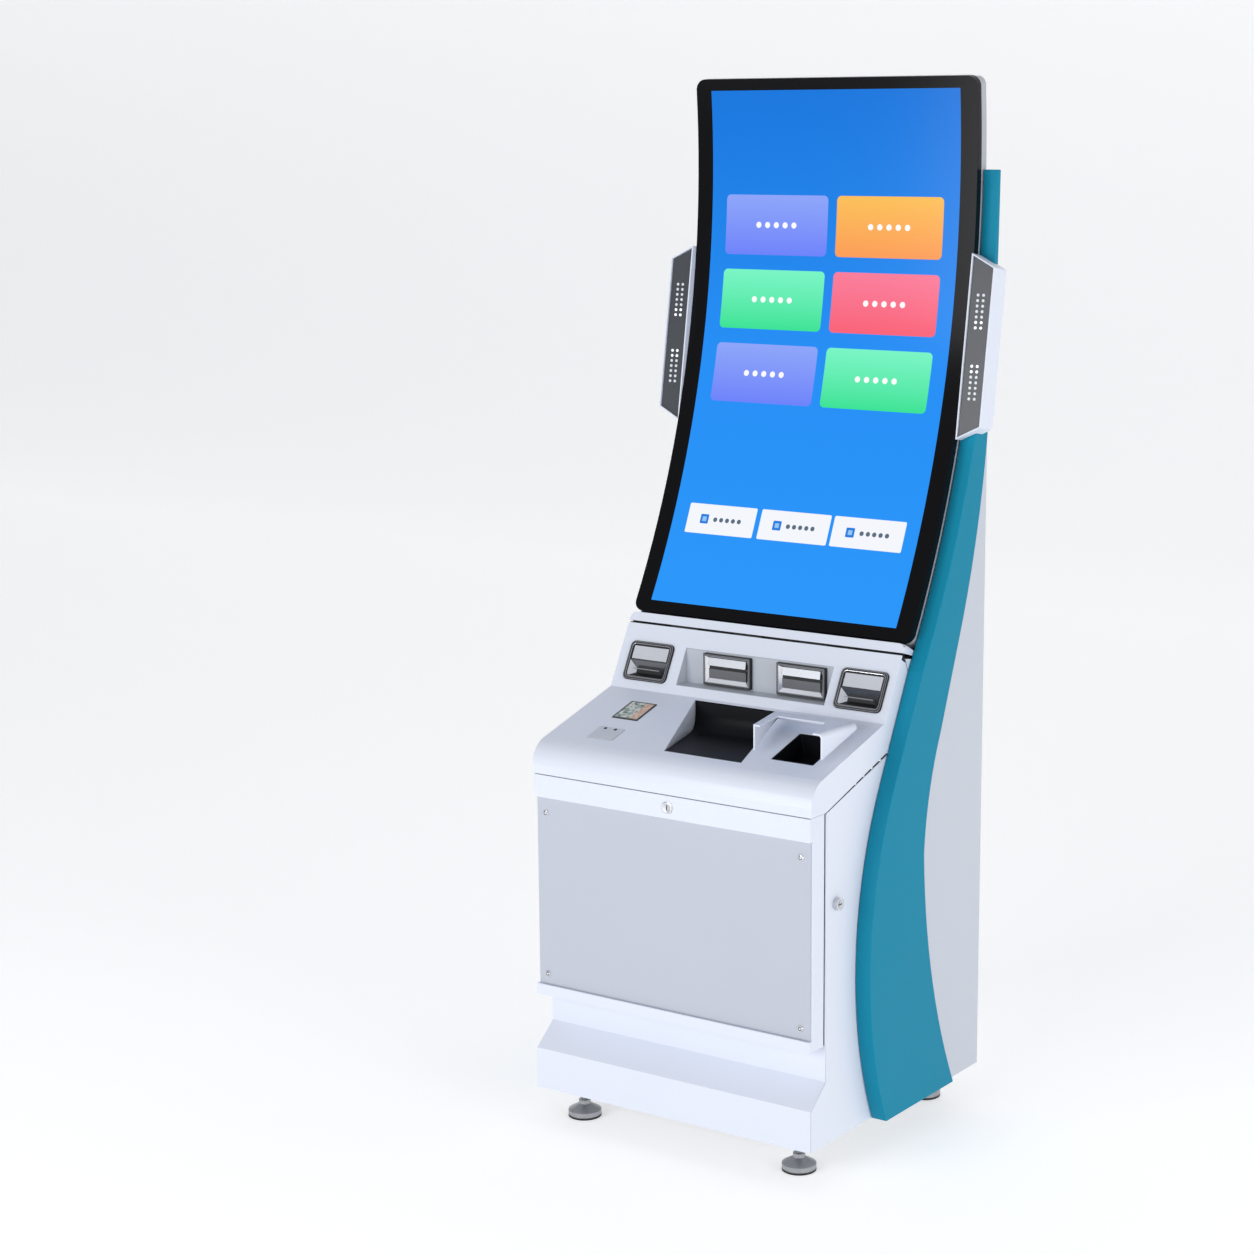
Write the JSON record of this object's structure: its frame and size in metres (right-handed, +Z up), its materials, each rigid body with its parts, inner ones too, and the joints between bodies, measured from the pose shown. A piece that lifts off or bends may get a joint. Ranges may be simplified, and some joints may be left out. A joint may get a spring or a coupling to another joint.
{
  "type": "cash kiosk",
  "caption": "Free-standing cash kiosk: steel cabinet on levelling feet, lifting console hood with card, note and coin openings, tall curved touch display between coloured side wings.",
  "frame": {"origin": "on the floor, in the middle of the bounding box", "axes": "+X to the right of a user who faces the machine, +Y to the rear, +Z up"},
  "size_m": [0.694, 0.5778, 1.8754],
  "materials": {
    "white_paint": "fine powder coat, satin",
    "white_cover": "fine powder coat, satin",
    "grey_paint": "fine powder coat, satin",
    "teal_paint": "smooth satin paint",
    "display_glass": "polished black glass border with a lit picture",
    "black_plastic": "satin moulded",
    "screen_module": "display panel",
    "clear_acrylic": "frosted acrylic",
    "dark_shell": "textured dark coat",
    "bracket_steel": "plain zinc plated sheet",
    "bright_metal": "polished plating",
    "lamp_led": "white lens",
    "silver_bezel": "cast metal, satin plating",
    "module_plastic": "moulded",
    "reader_plastic": "light grey moulding",
    "foot_metal": "dark chrome plating"
  },
  "bodies": {
    "cabinet": {"floor_plate": "bracket_steel", "side_wall_left": "white_paint", "side_wall_right": "white_paint", "plinth_front": "white_paint", "front_frame": "bracket_steel", "rear_frame": "bracket_steel", "column_cover": "white_paint", "equipment_shelf": "bracket_steel", "wing_panel_left": "teal_paint", "wing_panel_right": "teal_paint", "rear_side_cover_left": "white_cover", "rear_side_cover_right": "white_cover", "neck_panel": "white_paint", "display_glass": "display_glass", "bezel_frame": "black_plastic", "lcd_panel": "screen_module", "light_band": "clear_acrylic", "display_rear_shell": "dark_shell", "display_electronics_box": "dark_shell", "display_brackets": "bracket_steel", "display_rear_screws": "bright_metal", "lamp_housing_left": "white_paint", "lamp_housing_right": "white_paint", "lamp_face_left": "black_plastic", "lamp_face_right": "black_plastic", "lamp_leds": "lamp_led", "front_hinge": "bright_metal", "rear_hinge": "bright_metal", "hood_hinge_rod": "bright_metal", "banknote_recycler": "bracket_steel", "cash_cassettes": "module_plastic", "coin_hopper": "module_plastic", "control_computer": "module_plastic", "power_supply": "module_plastic", "mains_inlet": "module_plastic"},
    "front_door": {"front_door": "white_paint", "front_door_plate": "grey_paint", "front_door_screws": "bright_metal"},
    "band_lock": {"band_lock": "bright_metal"},
    "side_lock": {"side_lock": "bright_metal"},
    "rear_door": {"rear_door": "white_paint"},
    "rear_lock": {"rear_lock": "bright_metal"},
    "console_hood": {"hood_shell": "white_paint", "pocket_liner": "white_paint", "card_bezel": "silver_bezel", "note_bezel": "silver_bezel", "receipt_bezel": "silver_bezel", "dispenser_bezel": "silver_bezel", "card_reader": "module_plastic", "note_acceptor": "module_plastic", "receipt_printer": "module_plastic", "code_window": "black_plastic", "contactless_plate": "reader_plastic", "scoop_tray": "black_plastic", "coin_cup": "black_plastic", "coin_hood": "white_paint"},
    "levelling_foot_front_left": {"levelling_foot_front_left": "foot_metal"},
    "levelling_foot_front_right": {"levelling_foot_front_right": "foot_metal"},
    "levelling_foot_rear_left": {"levelling_foot_rear_left": "foot_metal"},
    "levelling_foot_rear_right": {"levelling_foot_rear_right": "foot_metal"}
  },
  "joints": [
    {"name": "hood_lift", "type": "hinge", "parent": "cabinet", "child": "console_hood", "pos_m": [0, 0.01019, 0.88038], "axis": [-1, 0, 0], "range_deg": [0, 55]},
    {"name": "front_door_swing", "type": "hinge", "parent": "cabinet", "child": "front_door", "pos_m": [-0.2986, -0.24164, 0.445], "axis": [0, 0, -1], "range_deg": [0, 105]},
    {"name": "band_lock_turn", "type": "hinge", "parent": "front_door", "child": "band_lock", "pos_m": [0, -0.28739, 0.629], "axis": [0, -1, 0], "range_deg": [0, 90]},
    {"name": "side_lock_turn", "type": "hinge", "parent": "cabinet", "child": "side_lock", "pos_m": [0.295, -0.20839, 0.4865], "axis": [1, 0, 0], "range_deg": [0, 90]},
    {"name": "rear_door_swing", "type": "hinge", "parent": "cabinet", "child": "rear_door", "pos_m": [0.2845, 0.27341, 0.412], "axis": [0, 0, -1], "range_deg": [0, 105]},
    {"name": "rear_lock_turn", "type": "hinge", "parent": "rear_door", "child": "rear_lock", "pos_m": [-0.244, 0.26961, 0.422], "axis": [0, 1, 0], "range_deg": [0, 90]},
    {"name": "foot_front_left_level", "type": "slide", "parent": "cabinet", "child": "levelling_foot_front_left", "axis": [0, 0, -1], "range_m": [0, 0.015]},
    {"name": "foot_front_right_level", "type": "slide", "parent": "cabinet", "child": "levelling_foot_front_right", "axis": [0, 0, -1], "range_m": [0, 0.015]},
    {"name": "foot_rear_left_level", "type": "slide", "parent": "cabinet", "child": "levelling_foot_rear_left", "axis": [0, 0, -1], "range_m": [0, 0.015]},
    {"name": "foot_rear_right_level", "type": "slide", "parent": "cabinet", "child": "levelling_foot_rear_right", "axis": [0, 0, -1], "range_m": [0, 0.015]}
  ]
}
